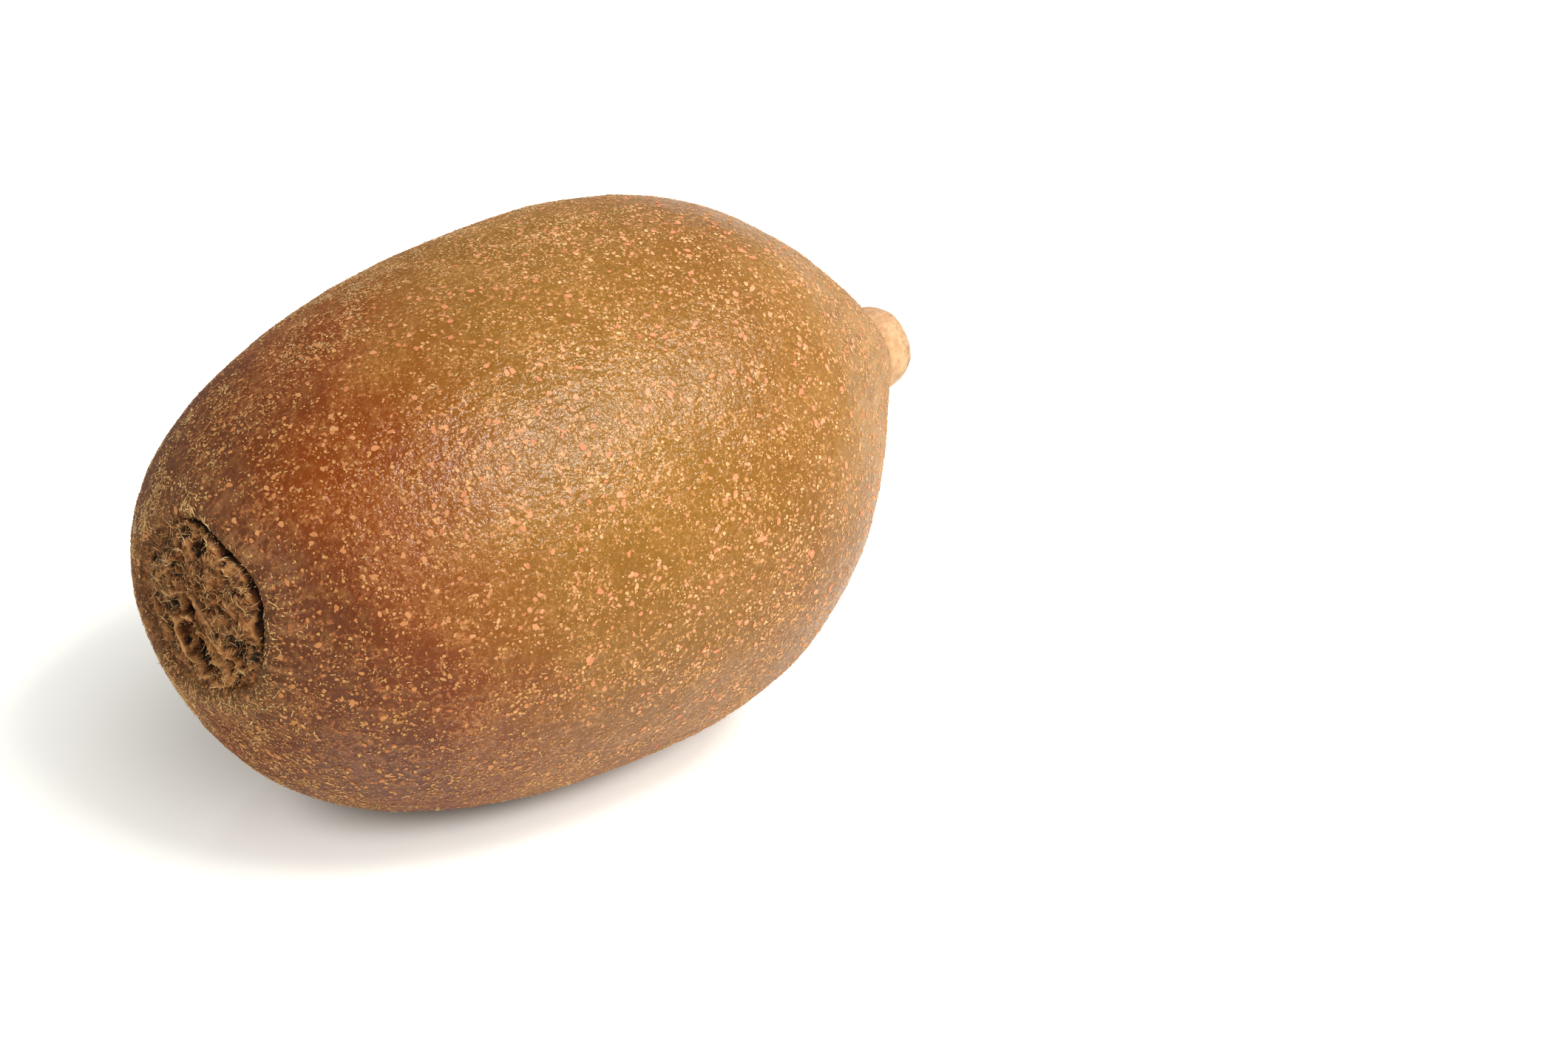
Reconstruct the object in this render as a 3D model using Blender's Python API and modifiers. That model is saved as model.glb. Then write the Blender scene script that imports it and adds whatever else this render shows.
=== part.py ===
# Golden kiwi fruit, whole and as picked, lying on the flatter side of its flank.
# The stem end, with its sunken woody scar, faces -X. The blunt beak at the blossom end faces +X.
# The fruit grew as one piece, so it is one closed solid: a turned body that is flattened, bent a
# little off its axis, carved at the scar by a height formula, and cut flat where it rests.

import math

import bmesh
import bpy
import numpy as np
from mathutils import Matrix, Vector, noise

MM = 0.001

# Driving dimensions of the body, in millimetres
LENGTH = 72.6
WIDTH = 48.0
HEIGHT_TO_WIDTH = 0.967
WIDEST_AT = 36.6
BODY_END = 68.5
STEM_BLUNTNESS = (2.2, 2.5)
BEAK_BLUNTNESS = (2.7, 1.25)

# The beak, a short blunt cap that stands off the body behind a shallow notch
BEAK_RADIUS = 3.7
BEAK_START = 62.0
BEAK_ROUNDING = 3.0
BEAK_BLUNT_END = 2.4
NOTCH_FILL = 4.4

# How far the section's centre stands off the straight axis towards each end: sideways and up.
# The cap and the scar have a further offset of their own.
STEM_OFFSET = (0.9, -0.9)
BEAK_OFFSET = (-3.2, 5.5)
CAP_OFFSET = (0.7, -2.3)
SCAR_OFFSET = (-0.9, 3.0)
SCAR_OFFSET_POWER = 8
SWELL = 0.3
SWELL_SCALE = 9.0
SWELL_PHASES = (0.6, 1.7, 2.9)

# The stem scar: a groove round a torn woody plug, with a pit and a trough where the stalk broke off
SCAR_RADIUS = 7.6
COLLAR_RISE = 0.45
COLLAR_WIDTH = 1.9
COLLAR_OUT = 1.6
GROOVE_DEPTH = 1.6
GROOVE_WIDTH = 1.0
GROOVE_DEEP_SIDE = math.radians(150)
PLUG_SINK = 0.3
PLUG_ROUGHNESS = 0.6
PLUG_GRAIN = 3.2
PIT_DEPTH = 2.4
PIT_WIDTH = 1.3
TROUGH_DEPTH = 1.2
TROUGH_WIDTH = 1.1
TROUGH_LENGTH = 4.4
PIT_UP = 0.7
TROUGH_LEAN = 0.25

# How it lies, and the depth of the flat spot that it rests on
PITCH = math.radians(0.7)
FLAT_DEPTH = 0.5

# How finely the surface is divided, and how far round the scar and the beak the finer rings go
SEGMENTS = 72
SCAR_RINGS = 17
BODY_RINGS = 26
BEAK_RINGS = 10
SCAR_MARGIN = 3.0
BEAK_MARGIN = 1.5
MERIDIAN_POINTS = 1500


def clear_scene():
    for obj in list(bpy.data.objects):
        bpy.data.objects.remove(obj, do_unlink=True)


def body_radius(x):
    """Distance from the axis at x: a superellipse with its own bluntness towards each end."""
    if x <= WIDEST_AT:
        along, across = STEM_BLUNTNESS
        share = (WIDEST_AT - x) / WIDEST_AT
    else:
        along, across = BEAK_BLUNTNESS
        share = min(1.0, (x - WIDEST_AT) / (BODY_END - WIDEST_AT))
    return WIDTH / 2 * max(0.0, 1 - share**along) ** (1 / across)


def beak_radius(x):
    """A cylinder with a well rounded end, from BEAK_START to the tip."""
    past = max(0.0, (x - (LENGTH - BEAK_ROUNDING)) / BEAK_ROUNDING)
    return BEAK_RADIUS * max(0.0, 1 - past**BEAK_BLUNT_END) ** (1 / BEAK_BLUNT_END)


def fruit_radius(x):
    """Body and beak run together, with the notch between them softly filled."""
    body = body_radius(x)
    if x < BEAK_START:
        return body
    beak = beak_radius(x)
    nearness = max(0.0, 1 - abs(body - beak) / NOTCH_FILL)
    return max(body, beak) + nearness**2 * NOTCH_FILL / 4


def meridian():
    """(x, radius) from the middle of the stem end to the tip of the beak, closely spaced."""
    stations = LENGTH * (1 - np.cos(np.linspace(0, math.pi, MERIDIAN_POINTS))) / 2
    radii = [fruit_radius(x) for x in stations]
    radii[0] = radii[-1] = 0.0
    return np.column_stack([stations, radii])


def ring_points():
    """The meridian cut into rings, close together at the scar and at the beak."""
    line = meridian()
    steps = np.hypot(*np.diff(line, axis=0).T)
    run = np.concatenate([[0.0], np.cumsum(steps)])
    widening = line[:, 0] < WIDEST_AT
    scar_end = np.interp(SCAR_RADIUS + SCAR_MARGIN, line[widening, 1], run[widening])
    beak_start = np.interp(BEAK_START + BEAK_MARGIN, line[:, 0], run)
    stations = np.concatenate(
        [
            np.linspace(0, scar_end, SCAR_RINGS + 1)[:-1],
            np.linspace(scar_end, beak_start, BODY_RINGS + 1)[:-1],
            np.linspace(beak_start, run[-1], BEAK_RINGS + 1),
        ]
    )
    return [(np.interp(s, run, line[:, 0]), np.interp(s, run, line[:, 1])) for s in stations]


def turned_body():
    """The meridian turned once round the X axis by a Screw modifier, as one closed mesh."""
    profile = bpy.data.meshes.new("meridian")
    points = ring_points()
    edges = [(i, i + 1) for i in range(len(points) - 1)]
    profile.from_pydata([(x * MM, 0.0, r * MM) for x, r in points], edges, [])
    turned = bpy.data.objects.new("turned", profile)
    bpy.context.scene.collection.objects.link(turned)
    screw = turned.modifiers.new("turn", "SCREW")
    screw.axis = "X"
    screw.steps = SEGMENTS
    screw.render_steps = SEGMENTS
    screw.use_merge_vertices = True
    screw.merge_threshold = 0.00001
    graph = bpy.context.evaluated_depsgraph_get()
    mesh = bpy.data.meshes.new_from_object(turned.evaluated_get(graph))
    bpy.data.objects.remove(turned, do_unlink=True)
    return mesh


def bell(distance, width):
    return math.exp(-((distance / width) ** 2))


def plug_relief(y, z):
    """The torn wood inside the groove: lumps, a pit off its centre and a trough running down."""
    lumps = noise.fractal(Vector((y, z, 4.0)) / PLUG_GRAIN, 0.8, 2.0, 2)
    pit = bell(math.hypot(y, z - PIT_UP), PIT_WIDTH)
    along = min(max(-z, 0.0), TROUGH_LENGTH)
    trough = bell(math.hypot(y + TROUGH_LEAN * along, z + along), TROUGH_WIDTH)
    return PLUG_ROUGHNESS * lumps - max(PIT_DEPTH * pit, TROUGH_DEPTH * trough)


def scar_height(y, z):
    """How far the surface stands out of the smooth stem end, at y and z from the scar's centre."""
    angle = math.atan2(z, y)
    edge = 1 + 0.05 * math.cos(2 * angle + 0.8) + 0.03 * math.cos(5 * angle)
    out = math.hypot(y, z) / edge
    deep = 0.7 + 0.3 * math.cos(angle - GROOVE_DEEP_SIDE)
    height = COLLAR_RISE * bell(out - SCAR_RADIUS - COLLAR_OUT, COLLAR_WIDTH)
    height -= GROOVE_DEPTH * deep * bell(out - SCAR_RADIUS, GROOVE_WIDTH)
    inside = min(1.0, max(0.0, SCAR_RADIUS - 0.3 - out))
    return height + inside * (plug_relief(y, z) - PLUG_SINK)


def swell(x, y, z):
    """How much wider the section is at a point of the turned body, for its low, wide lumps."""
    first, second, third = SWELL_PHASES
    lumps = math.sin(x / SWELL_SCALE + first) * math.sin(y / SWELL_SCALE + second)
    lumps += math.sin(z / SWELL_SCALE + third) * math.sin(x / SWELL_SCALE / 1.6)
    return 1 + SWELL * lumps / WIDTH


def shaped(point):
    """One point of the turned body, moved to its place on the fruit, in millimetres."""
    x, y, z = point
    wider = swell(x, y, z)
    y *= wider
    z *= wider * HEIGHT_TO_WIDTH
    if x > WIDEST_AT:
        share = min(1.0, (x - WIDEST_AT) / (BODY_END - WIDEST_AT))
        cap = min(1.0, max(0.0, (x - BEAK_START) / (BODY_END - BEAK_START)))
        y += BEAK_OFFSET[0] * share**2 + CAP_OFFSET[0] * cap**2
        z += BEAK_OFFSET[1] * share**2 + CAP_OFFSET[1] * cap**2
        return x, y, z
    share = (WIDEST_AT - x) / WIDEST_AT
    if x < WIDEST_AT / 2:
        x -= scar_height(y, z)
    y += STEM_OFFSET[0] * share**2 + SCAR_OFFSET[0] * share**SCAR_OFFSET_POWER
    z += STEM_OFFSET[1] * share**2 + SCAR_OFFSET[1] * share**SCAR_OFFSET_POWER
    return x, y, z


def lay_down(mesh):
    """Bends and carves the turned body, tips it to the angle it lies at, and centres it."""
    for vertex in mesh.vertices:
        vertex.co = Vector(shaped(vertex.co / MM)) * MM
    mesh.transform(Matrix.Rotation(-PITCH, 4, "Y"))
    points = np.array([vertex.co for vertex in mesh.vertices])
    low, high = points.min(axis=0), points.max(axis=0)
    middle = (low + high) / 2
    mesh.transform(Matrix.Translation((-middle[0], -middle[1], -low[2] - FLAT_DEPTH * MM)))


def cut_flat_spot(mesh):
    """Cuts off what lies under z = 0 and closes the cut with one flat face."""
    bm = bmesh.new()
    bm.from_mesh(mesh)
    everything = bm.verts[:] + bm.edges[:] + bm.faces[:]
    bmesh.ops.bisect_plane(
        bm, geom=everything, plane_co=(0, 0, 0), plane_no=(0, 0, 1), clear_inner=True
    )
    rim = [edge for edge in bm.edges if edge.is_boundary]
    bmesh.ops.holes_fill(bm, edges=rim)
    bmesh.ops.recalc_face_normals(bm, faces=bm.faces)
    bm.to_mesh(mesh)
    bm.free()


def skin_material():
    """Bronze, softly shining skin."""
    skin = bpy.data.materials.new("bronze_skin")
    skin.use_nodes = True
    shader = skin.node_tree.nodes["Principled BSDF"]
    shader.inputs["Base Color"].default_value = (0.31, 0.15, 0.045, 1.0)
    shader.inputs["Roughness"].default_value = 0.5
    shader.inputs["Metallic"].default_value = 0.0
    return skin


def build():
    clear_scene()
    fruit = bpy.data.collections.new("golden_kiwi_fruit")
    bpy.context.scene.collection.children.link(fruit)
    mesh = turned_body()
    mesh.name = "kiwi_fruit"
    lay_down(mesh)
    cut_flat_spot(mesh)
    mesh.materials.clear()
    mesh.materials.append(skin_material())
    mesh.shade_smooth()
    kiwi = bpy.data.objects.new("kiwi_fruit", mesh)
    fruit.objects.link(kiwi)


build()
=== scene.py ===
import itertools
import math

import bpy
import numpy as np
from mathutils import Euler, Matrix, Vector


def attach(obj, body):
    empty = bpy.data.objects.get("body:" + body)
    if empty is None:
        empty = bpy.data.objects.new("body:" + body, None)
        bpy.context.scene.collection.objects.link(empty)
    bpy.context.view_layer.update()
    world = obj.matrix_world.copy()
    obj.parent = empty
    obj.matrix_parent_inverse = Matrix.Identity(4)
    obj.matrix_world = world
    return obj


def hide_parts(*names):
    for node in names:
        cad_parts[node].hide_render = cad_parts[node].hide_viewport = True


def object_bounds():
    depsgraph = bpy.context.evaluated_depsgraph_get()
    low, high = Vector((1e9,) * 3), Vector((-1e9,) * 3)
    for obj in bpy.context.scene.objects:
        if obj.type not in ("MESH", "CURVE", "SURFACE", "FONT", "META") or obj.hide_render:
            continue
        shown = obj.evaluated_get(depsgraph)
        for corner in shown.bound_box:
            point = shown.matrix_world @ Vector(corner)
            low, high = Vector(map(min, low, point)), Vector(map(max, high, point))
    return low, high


# Golden kiwi fruit: skin, raised flecks, fuzz and the torn wood of the stem scar, laid over the
# solid fruit. Lengths are millimetres until a mesh is made. The stem end faces -X, the beak +X.

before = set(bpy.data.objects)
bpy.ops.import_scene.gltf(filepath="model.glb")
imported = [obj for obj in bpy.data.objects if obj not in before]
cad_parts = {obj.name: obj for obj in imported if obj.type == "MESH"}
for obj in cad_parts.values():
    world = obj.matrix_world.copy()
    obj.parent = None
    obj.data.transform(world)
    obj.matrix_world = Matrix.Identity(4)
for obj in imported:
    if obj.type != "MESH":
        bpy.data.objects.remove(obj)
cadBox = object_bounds()
cadLow = np.array(cadBox[0]) * 1000
cadHigh = np.array(cadBox[1]) * 1000
toMetres = 0.001


# Numbers and small tools

mixers = (374761393, 668265263, 1440662683, 974634777, 1274126177)  # large odd numbers
word = 0xFFFFFFFF


# Values from -1 to 1 at the whole-number corners of a lattice, mixed from the corner's own numbers
def cornerValues(ix, iy, iz, seed):
    first, second, third, fourth, fifth = mixers
    mixed = (ix * first + iy * second + iz * third + seed * fourth) & word
    mixed = ((mixed ^ (mixed >> 13)) * fifth) & word
    mixed = ((mixed ^ (mixed >> 16)) * second) & word
    return (mixed ^ (mixed >> 15)) / (word / 2) - 1


# Smooth lumps from about -1 to 1 at an n by 3 array of points: corner values blended with an ease
# curve along each axis, each octave half as wide and half as strong as the one before. The
# lattice is turned by the seed, and again for each octave, so that its rows never line up.
def lumps(points, size, seed=0, octaves=1):
    total = np.zeros(len(points))
    for octave in range(octaves):
        turn = Euler((0.6 + 0.7 * seed, 0.9 + 1.3 * octave, 1.1 + 0.5 * seed)).to_matrix()
        scaled = points @ np.array(turn) / size * 2**octave
        cell = np.floor(scaled).astype(np.int64)
        part = scaled - cell
        ease = part**3 * (part * (part * 6 - 15) + 10)
        for corner in itertools.product((0, 1), repeat=3):
            share = np.where(corner, ease, 1 - ease).prod(axis=1)
            values = cornerValues(*(cell + corner).T, seed * 31 + octave)
            total += share * values / 2**octave
    return total


# Lumps of a height, size, seed and number of octaves
def raised(points, height, size, seed, octaves=1):
    return height * lumps(points, size, seed, octaves)


# A smooth bell: e to the power of minus the square of distance over width
def bell(distance, width):
    return np.exp(-((distance / width) ** 2))


# 0 below low, 1 above high, eased between by 3 times the square less twice the cube
def easeStep(value, low, high):
    part = np.clip((value - low) / (high - low), 0, 1)
    return part * part * (3 - 2 * part)


# Eased up from 0 to 1 between the first two values, and down again between the last two
def band(value, low, full, fade, end):
    return easeStep(value, low, full) * (1 - easeStep(value, fade, end))


# A value that swings round a circle: a middle, and an amount added in full towards a side
def swing(angle, middle, amount, side):
    return middle + amount * np.cos(angle - side)


# 1 towards a side of a circle, 0 on the half that faces away from it
def facing(angle, side):
    return np.maximum(0, np.cos(angle - side))


def unit(vectors):
    return vectors / np.maximum(np.linalg.norm(vectors, axis=-1, keepdims=True), 1e-12)


# A new object in the scene that shows a mesh, a light or a camera
def addObject(name, data):
    made = bpy.data.objects.new(name, data)
    bpy.context.scene.collection.objects.link(made)
    return made


# One mesh object from points in millimetres, and lists of faces with the same number of corners;
# the lists named by number in flatLists are shaded flat
def makePiece(name, points, faceLists, material, attributes=None, flatLists=()):
    corners = np.concatenate([np.asarray(faces).ravel() for faces in faceLists])
    sizes = np.concatenate([np.full(len(faces), np.shape(faces)[1]) for faces in faceLists])
    mesh = bpy.data.meshes.new(name)
    mesh.vertices.add(len(points))
    mesh.vertices.foreach_set("co", (points * toMetres).astype(np.float32).ravel())
    mesh.loops.add(len(corners))
    mesh.loops.foreach_set("vertex_index", corners.astype(np.int32))
    mesh.polygons.add(len(sizes))
    mesh.polygons.foreach_set("loop_start", (np.cumsum(sizes) - sizes).astype(np.int32))
    mesh.polygons.foreach_set("loop_total", sizes.astype(np.int32))
    mesh.update(calc_edges=True)
    smooth = [np.full(len(faces), k not in flatLists) for k, faces in enumerate(faceLists)]
    mesh.polygons.foreach_set("use_smooth", np.concatenate(smooth))
    for key, values in (attributes or {}).items():
        layer = mesh.attributes.new(key, "FLOAT", "POINT")
        layer.data.foreach_set("value", values.astype(np.float32))
    mesh.materials.append(material)
    print(f"{name}: {int((sizes - 2).sum())} triangles")
    return addObject(name, mesh)


# Faces of a grid of rows by columns whose columns run round and meet; rows point inwards first
def ringFaces(rows, columns):
    row, column = np.meshgrid(np.arange(rows - 1), np.arange(columns), indexing="ij")
    after = (column + 1) % columns
    corners = [row * columns + column, (row + 1) * columns + column]
    corners += [(row + 1) * columns + after, row * columns + after]
    return np.stack(corners, axis=-1).reshape(-1, 4)


# Triangles from one end point to a ring that starts at an index
def fanFaces(pole, start, columns, turned):
    column = np.arange(columns)
    first, second = start + column, start + (column + 1) % columns
    if turned:
        first, second = second, first
    return np.stack([np.full(columns, pole), first, second], axis=-1)


# Points and faces of rings closed at each end by a fan to the ring's middle
def closedRings(grid, lastMove=(0, 0, 0)):
    rows, columns = grid.shape[:2]
    count = rows * columns
    poles = np.stack([grid[0].mean(axis=0), grid[-1].mean(axis=0) + lastMove])
    fans = [fanFaces(count, 0, columns, True), fanFaces(count + 1, count - columns, columns, False)]
    points = np.concatenate([grid.reshape(-1, 3), poles])
    return points, [ringFaces(rows, columns)[:, ::-1], np.concatenate(fans)]


# The same small shape's faces, repeated for a number of copies
def repeatFaces(faces, pointsEach, copies):
    faces = np.asarray(faces)
    shifted = faces[None] + np.arange(copies)[:, None, None] * pointsEach
    return shifted.reshape(-1, faces.shape[1])


def keepInBox(points, margin):
    return np.clip(points, cadLow + [margin, margin, 0], cadHigh - margin)


# Shader building

# One operator of Wire and its reflected twin
def operators(operation):
    def plain(self, other):
        return self.maths(operation, self, other)

    def reflected(self, other):
        return self.maths(operation, other, self)

    return plain, reflected


# A socket that can be written into sums
class Wire:
    def __init__(self, recipe, socket):
        self.recipe = recipe
        self.socket = socket

    def maths(self, operation, first, second):
        return self.recipe.node("ShaderNodeMath", {"operation": operation}, {0: first, 1: second})

    __add__, __radd__ = operators("ADD")
    __sub__, __rsub__ = operators("SUBTRACT")
    __mul__, __rmul__ = operators("MULTIPLY")
    __pow__, __rpow__ = operators("POWER")


# One material: nodes are added by kind, settings and the values or links of their inputs
class Recipe:
    def __init__(self, name):
        self.material = bpy.data.materials.new(name)
        self.material.use_nodes = True
        self.tree = self.material.node_tree
        self.shader = self.tree.nodes["Principled BSDF"]

    def feed(self, socket, value):
        if isinstance(value, Wire):
            self.tree.links.new(value.socket, socket)
        else:
            socket.default_value = value

    def node(self, kind, settings=None, inputs=None, out=0):
        made = self.tree.nodes.new(kind)
        for key, value in (settings or {}).items():
            if key == "stops":
                self.setStops(made.color_ramp, value)
            else:
                setattr(made, key, value)
        for key, value in (inputs or {}).items():
            self.feed(made.inputs[key], value)
        return Wire(self, made.outputs[out])

    def setStops(self, ramp, stops):
        while len(ramp.elements) > 1:
            ramp.elements.remove(ramp.elements[-1])
        ramp.elements[0].position, ramp.elements[0].color = stops[0]
        for position, colour in stops[1:]:
            ramp.elements.new(position).color = colour

    def here(self):
        return self.node("ShaderNodeTexCoord", out="Object")

    def noise(self, size, detail=2.0, roughness=0.5):
        inputs = {"Vector": self.here(), "Scale": 1000 / size, "Detail": detail, "Roughness": roughness}
        return self.node("ShaderNodeTexNoise", None, inputs)

    def attribute(self, name):
        return self.node("ShaderNodeAttribute", {"attribute_name": name}, out="Fac")

    # 1 along the thin curly lines where a noise of a size passes through its middle value
    def strands(self, size, width):
        detail, core = 1.5, 0.4
        off = self.node("ShaderNodeMath", {"operation": "ABSOLUTE"}, {0: self.noise(size, detail) - 0.5})
        return self.step(off, width, width * core)

    # A value taken from the span low to high, to 0 to 1 and eased
    def step(self, value, low, high):
        inputs = {"Value": value, "From Min": low, "From Max": high}
        return self.node("ShaderNodeMapRange", {"interpolation_type": "SMOOTHSTEP"}, inputs)

    def blend(self, share, first, second):
        inputs = {0: share, 6: first, 7: second}
        return self.node("ShaderNodeMix", {"data_type": "RGBA"}, inputs, out=2)

    def bump(self, height, depth, strength=1.0):
        inputs = {"Height": height, "Distance": depth * toMetres, "Strength": strength}
        return self.node("ShaderNodeBump", None, inputs)

    def finish(self, **sockets):
        for key, value in sockets.items():
            self.feed(self.shader.inputs[key.replace("_", " ")], value)
        return self.material


lightLevel = 1.15  # how bright the studio light makes a white surface of the fruit


# A colour given as it looks in that light on a screen, 0 to 255. The screen's curve is undone: a
# straight part near black, and a power of 2.4 above it
def paint(red, green, blue):
    shares = np.array([red, green, blue]) / 255
    linear = np.where(shares <= 0.04045, shares / 12.92, ((shares + 0.055) / 1.055) ** 2.4)
    return (*(linear / lightLevel).tolist(), 1.0)


# The fruit's form, from the same driving sizes as the solid

fruitForm = {
    "length": 72.6,
    "width": 48.0,
    "heightToWidth": 0.967,
    "widestAt": 36.6,
    "bodyEnd": 68.5,
    "stemBluntness": (2.2, 2.5),
    "beakBluntness": (2.7, 1.25),
    "beakRadius": 3.7,
    "beakStart": 62.0,
    "beakRounding": 3.0,
    "beakBluntEnd": 2.4,
    "notchFill": 4.4,
    "notchFrom": 58.0,
    "stemOffset": (0.9, -0.9),
    "beakOffset": (-3.2, 5.5),
    "capOffset": (0.7, -2.3),
    "scarOffset": (-0.9, 3.0),
    "scarOffsetPower": 8,
    "swell": 0.3,
    "swellScale": 9.0,
    "swellPhases": (0.6, 1.7, 2.9),
    "scarRadius": 7.6,
    "collarRise": 0.45,
    "collarWidth": 1.9,
    "collarOut": 1.6,
    "grooveDepth": 1.6,
    "grooveWidth": 1.0,
    "grooveDeepSide": math.radians(150),
    "pitch": math.radians(0.7),
    "scarCentre": (-1.5, 2.1),  # in the turned body's y, z
    "scarWaves": ((0.05, 2, 0.8), (0.03, 5, 0.0)),  # share of the radius, waves round, their start
    "scarFlat": (0.13, 2.45, 0.75),  # share of the radius cut off, towards which side, how wide
    "grooveSides": (0.7, 0.3),  # share all round, and added on the deep side
    "underPlug": (1.6, 0.2, 1.6),  # the skin's drop under the plug, from and to inside its edge
    "notchFillNear": 6.5,  # added to it on the side at notchSide
    "notchSide": math.radians(143),
    "shoulder": (0.4, 61.0, 4.0),  # how much thinner the body is before the beak, about which x
    "lipLean": 0.4,  # how far the collar leans in over the groove
    "lipSides": (0.55, 0.45),  # share all round, and added on the deep side
    "lipReach": (0.9, 0.8),  # how far outside the groove it leans most, and how wide that is
    "inset": 0.05,  # how deep the skin lies in the solid, to leave room for fuzz
}


# Distance from the axis at x: a superellipse with its own bluntness towards each end
def bodyRadius(x):
    form = fruitForm
    stemShare = np.clip((form["widestAt"] - x) / form["widestAt"], 0, 1)
    beakShare = np.clip((x - form["widestAt"]) / (form["bodyEnd"] - form["widestAt"]), 0, 1)
    stemAlong, stemAcross = form["stemBluntness"]
    beakAlong, beakAcross = form["beakBluntness"]
    stemSide = np.maximum(0, 1 - stemShare**stemAlong) ** (1 / stemAcross)
    beakSide = np.maximum(0, 1 - beakShare**beakAlong) ** (1 / beakAcross)
    return form["width"] / 2 * np.where(x <= form["widestAt"], stemSide, beakSide)


# Body and beak run together: the wider of the two, with the notch between them softly filled, more
# so on one side where an angle round the axis is given
def fruitRadius(x, angle=None):
    form = fruitForm
    less, middle, spread = form["shoulder"]
    body = bodyRadius(x) - less * bell(x - middle, spread)
    past = np.clip((x - form["length"] + form["beakRounding"]) / form["beakRounding"], 0, 1)
    blunt = form["beakBluntEnd"]
    beak = form["beakRadius"] * np.maximum(0, 1 - past**blunt) ** (1 / blunt)
    fill = form["notchFill"]
    if angle is not None:
        fill = fill + form["notchFillNear"] * facing(angle, form["notchSide"]) ** 2
    nearness = np.maximum(0, 1 - abs(body - beak) / fill)
    joined = np.maximum(body, beak) + nearness**2 * fill / 4 * (1 - past)
    return np.where(x < form["notchFrom"], body, joined)


# Share by which low, wide lumps widen the section at a point of the turned body
def swell(x, y, z):
    size = fruitForm["swellScale"]
    first, second, third = fruitForm["swellPhases"]
    bumps = np.sin(x / size + first) * np.sin(y / size + second)
    bumps += np.sin(z / size + third) * np.sin(x / size / 1.6)
    return 1 + fruitForm["swell"] * bumps / fruitForm["width"]


# The scar's uneven outline as a share of its radius: two soft waves, less a flat on its near side
def scarEdge(angle):
    waves = sum(share * np.cos(count * angle + start) for share, count, start in fruitForm["scarWaves"])
    depth, side, spread = fruitForm["scarFlat"]
    return 1 + waves - depth * np.exp((np.cos(angle - side) - 1) / spread**2)


# How far out of the scar's centre a place is, measured on the scar's own outline
def scarReach(y, z):
    y, z = y - fruitForm["scarCentre"][0], z - fruitForm["scarCentre"][1]
    angle = np.arctan2(z, y)
    return np.hypot(y, z) / scarEdge(angle), angle


# Height of the skin over the smooth stem end: a collar, a groove just inside it, and a drop under
# the plug
def skinHeightAtScar(y, z):
    form = fruitForm
    out, angle = scarReach(y, z)
    deep = swing(angle, *form["grooveSides"], form["grooveDeepSide"])
    height = form["collarRise"] * bell(out - form["scarRadius"] - form["collarOut"], form["collarWidth"])
    height = height - form["grooveDepth"] * deep * bell(out - form["scarRadius"], form["grooveWidth"])
    drop, near, far = form["underPlug"]
    return height - drop * easeStep(form["scarRadius"] - out, near, far)


# A point of the turned body (x, y, z arrays) moved to its place on the fruit; height is what stands
# out of the stem end there, worked out here where it is None
def shaped(x, y, z, height):
    form = fruitForm
    wider = swell(x, y, z)
    y = y * wider
    z = z * wider * form["heightToWidth"]
    beakShare = np.clip((x - form["widestAt"]) / (form["bodyEnd"] - form["widestAt"]), 0, 1)
    cap = np.clip((x - form["beakStart"]) / (form["bodyEnd"] - form["beakStart"]), 0, 1)
    stemShare = np.clip((form["widestAt"] - x) / form["widestAt"], 0, 1)
    if height is None:
        height = np.where(x < form["widestAt"] / 2, skinHeightAtScar(y, z), 0)
        out, angle = scarReach(y, z)
        lean = form["lipLean"] * swing(angle, *form["lipSides"], form["grooveDeepSide"])
        lipOut, lipWidth = form["lipReach"]
        lean = lean * bell(out - form["scarRadius"] - lipOut, lipWidth) * (x < form["widestAt"] / 2)
        y, z = y - lean * np.cos(angle), z - lean * np.sin(angle)
    far = stemShare ** form["scarOffsetPower"]
    shift = [
        form["beakOffset"][k] * beakShare**2
        + form["capOffset"][k] * cap**2
        + form["stemOffset"][k] * stemShare**2
        + form["scarOffset"][k] * far
        for k in (0, 1)
    ]
    return np.stack([x - height, y + shift[0], z + shift[1]], axis=-1)


# Tips the fruit by its pitch
def laidDown(points):
    turn = fruitForm["pitch"]
    x, y, z = points[..., 0], points[..., 1], points[..., 2]
    x, z = x * math.cos(turn) - z * math.sin(turn), x * math.sin(turn) + z * math.cos(turn)
    return np.stack([x, y, z], axis=-1)


skinGrid = {
    "columns": 372,
    "underPlug": 6,  # rows from the scar's middle to just inside the groove
    "rimRows": 54,
    "bodyRows": 160,
    "beakRows": 34,
    "plugEdge": 3.6,
    "rimEnd": 14.0,
    "beakFrom": 63.0,
    "samples": 4000,
    "poleGap": 0.02,
    "tipGap": 0.05,
    "margin": 0.01,  # kept free inside the solid's box
}


# The meridian cut into rows, close together round the scar and at the beak
def meridianRows():
    rows = skinGrid
    x = fruitForm["length"] * (1 - np.cos(np.linspace(0, math.pi, rows["samples"]))) / 2
    radius = fruitRadius(x)
    radius[0] = radius[-1] = 0
    run = np.concatenate([[0], np.cumsum(np.hypot(np.diff(x), np.diff(radius)))])
    cuts = [rows["poleGap"], rows["plugEdge"], rows["rimEnd"], np.interp(rows["beakFrom"], x, run)]
    cuts.append(run[-1] - rows["tipGap"])
    counts = [rows["underPlug"], rows["rimRows"], rows["bodyRows"], rows["beakRows"]]
    pieces = [np.linspace(a, b, n, endpoint=False) for a, b, n in zip(cuts, cuts[1:], counts)]
    stations = np.concatenate(pieces + [[cuts[-1]]])
    return np.interp(stations, run, x), np.interp(stations, run, radius)


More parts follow.
